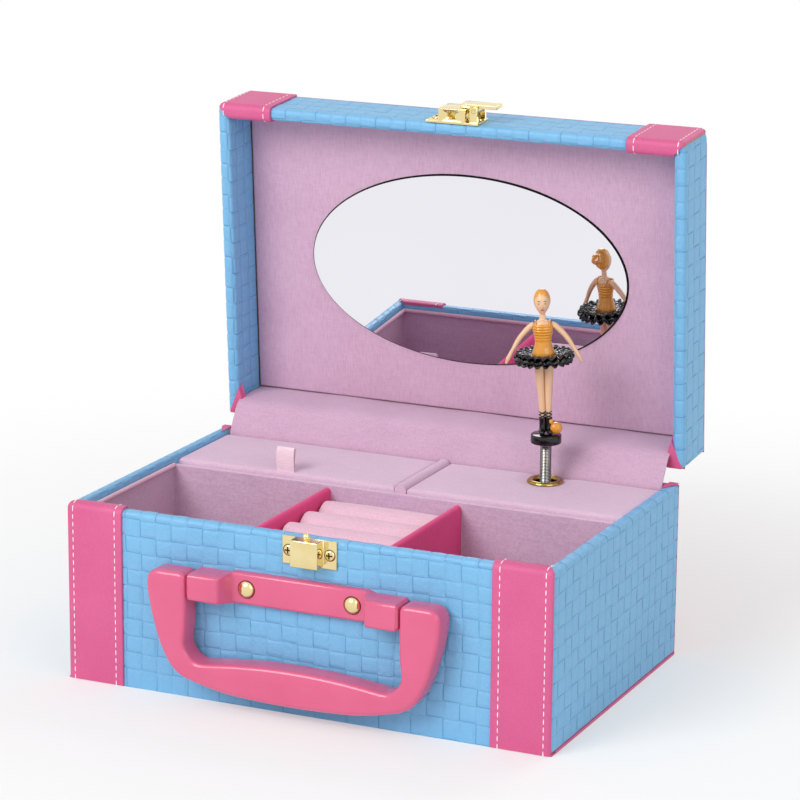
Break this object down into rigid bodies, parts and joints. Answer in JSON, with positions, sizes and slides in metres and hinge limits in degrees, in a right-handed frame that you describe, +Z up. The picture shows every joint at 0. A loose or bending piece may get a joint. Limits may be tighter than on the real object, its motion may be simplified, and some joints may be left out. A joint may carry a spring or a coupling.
{
  "type": "wind up music box",
  "caption": "Small suitcase-shaped wind-up music box with hinged mirror lid, jewellery tray, ring rolls, swing handle, snap latch and a dancer on a coil spring turned by the movement.",
  "frame": {"origin": "middle of the base, on the surface it stands on", "axes": "+Z up, +Y to the back where the hinge and key are, +X to the right seen from the front"},
  "size_m": [0.185, 0.1545, 0.1965],
  "materials": {
    "blue_leatherette": "basket-weave embossed, satin",
    "pink_leatherette": "smooth grain, satin",
    "board": "grey board",
    "lilac_fabric": "velour",
    "magenta_fabric": "paper-backed velour",
    "pale_pink_fabric": "plush",
    "ribbon": "satin ribbon",
    "gold": "polished",
    "brass": "turned",
    "steel": "drawn wire and plate",
    "cast_bed": "die cast",
    "handle_plastic": "moulded",
    "mirror": "silvered",
    "black_plastic": "moulded",
    "doll_plastic": "painted moulding",
    "wheel_plastic": "moulded acetal"
  },
  "bodies": {
    "case": {"base_board": "board", "front_board": "board", "back_board": "board", "side_boards": "board", "case_wrap": "blue_leatherette", "base_wrap": "pink_leatherette", "back_wrap": "pink_leatherette", "corner_strap_left": "pink_leatherette", "corner_strap_right": "pink_leatherette", "tray_lining": "lilac_fabric", "cross_wall": "lilac_fabric", "bay_divider": "lilac_fabric", "deck_cleats": "board", "tray_divider_left": "magenta_fabric", "tray_divider_right": "magenta_fabric", "ring_bed": "pale_pink_fabric", "ring_rolls": "pale_pink_fabric", "movement_panel": "lilac_fabric", "eyelet": "gold", "keeper_plate": "gold", "keeper_stud": "gold", "keeper_screws": "gold", "handle_bracket": "handle_plastic", "handle_rivets": "gold", "hinge_lining": "lilac_fabric", "hinge_band": "pink_leatherette", "bed_plate": "cast_bed", "front_bearing": "steel", "rear_bearing": "steel", "spindle_bridge": "steel", "comb": "steel", "movement_screws": "steel", "escutcheon": "gold"},
    "lid": {"lid_top_board": "board", "lid_walls": "board", "lid_wrap": "blue_leatherette", "lid_top_wrap": "pink_leatherette", "lid_strap_left": "pink_leatherette", "lid_strap_right": "pink_leatherette", "lid_liner": "lilac_fabric", "mirror": "mirror", "catch_plate": "gold", "catch_screws": "gold"},
    "handle": {"handle": "handle_plastic"},
    "lever": {"catch_lever": "gold"},
    "flap": {"compartment_lid": "lilac_fabric", "pull_ribbon": "ribbon"},
    "key": {"winding_arbor": "steel", "wind_key": "gold"},
    "drum": {"drum": "brass", "drum_arbor": "brass"},
    "barrel": {"barrel": "brass", "mainspring": "steel"},
    "idler": {"idler": "brass"},
    "governor": {"governor": "steel", "governor_fan": "wheel_plastic"},
    "spindle": {"spindle": "wheel_plastic"},
    "bend": {"bend_spring": "steel"},
    "dancer": {"dancer_stand": "black_plastic", "dancer_figure": "doll_plastic", "dancer_tutu": "black_plastic"}
  },
  "joints": [
    {"name": "lid_hinge", "type": "hinge", "parent": "case", "child": "lid", "pos_m": [0, 0.0634, 0.0666], "axis": [-1, 0, 0], "range_deg": [-86.35, 0], "deforming": ["hinge_lining", "hinge_band"]},
    {"name": "handle_swing", "type": "hinge", "parent": "case", "child": "handle", "pos_m": [0, -0.0646, 0.0436], "axis": [-1, 0, 0], "range_deg": [0, 100]},
    {"name": "lever_press", "type": "hinge", "parent": "lid", "child": "lever", "pos_m": [0.0106, 0.06108, 0.19406], "axis": [0, 0.998, 0.0637], "range_deg": [0, 8]},
    {"name": "flap_hinge", "type": "hinge", "parent": "case", "child": "flap", "pos_m": [-0.044, 0.0536, 0.0623], "axis": [-1, 0, 0], "range_deg": [0, 75]},
    {"name": "wind_key_turn", "type": "hinge", "parent": "case", "child": "key", "pos_m": [0.02684, 0.06, 0.0212], "axis": [0, 1, 0], "continuous": true},
    {"name": "drum_spin", "type": "hinge", "parent": "case", "child": "drum", "pos_m": [0.0455, 0.03, 0.0212], "axis": [0, 1, 0], "continuous": true},
    {"name": "barrel_spin", "type": "hinge", "parent": "case", "child": "barrel", "pos_m": [0.02684, 0.03, 0.0212], "axis": [0, 1, 0], "continuous": true},
    {"name": "idler_spin", "type": "hinge", "parent": "case", "child": "idler", "pos_m": [0.05876, 0.03, 0.0212], "axis": [0, 1, 0], "continuous": true},
    {"name": "governor_spin", "type": "hinge", "parent": "case", "child": "governor", "pos_m": [0.07122, 0.03, 0.01666], "axis": [0, 1, 0], "continuous": true},
    {"name": "spindle_spin", "type": "hinge", "parent": "case", "child": "spindle", "pos_m": [0.0455, 0.0466, 0.04], "axis": [0, 0, 1], "continuous": true},
    {"name": "dancer_fold", "type": "hinge", "parent": "case", "child": "bend", "pos_m": [0.0455, 0.0446, 0.0684], "axis": [-1, 0, 0], "range_deg": [-94.1, 0.1], "deforming": ["bend_spring"]},
    {"name": "dancer_spin", "type": "hinge", "parent": "bend", "child": "dancer", "pos_m": [0.0455, 0.0466, 0.0773], "axis": [0, 0, 1], "continuous": true}
  ],
  "couplings": [
    {"joint": "dancer_fold", "follows": "lid_hinge", "ratio": 1.0886},
    {"joint": "barrel_spin", "follows": "drum_spin", "ratio": -0.40909},
    {"joint": "idler_spin", "follows": "drum_spin", "ratio": -2.6667},
    {"joint": "governor_spin", "follows": "drum_spin", "ratio": 7.1111},
    {"joint": "spindle_spin", "follows": "drum_spin", "ratio": 0.66667},
    {"joint": "dancer_spin", "follows": "drum_spin", "ratio": 0.66667}
  ]
}
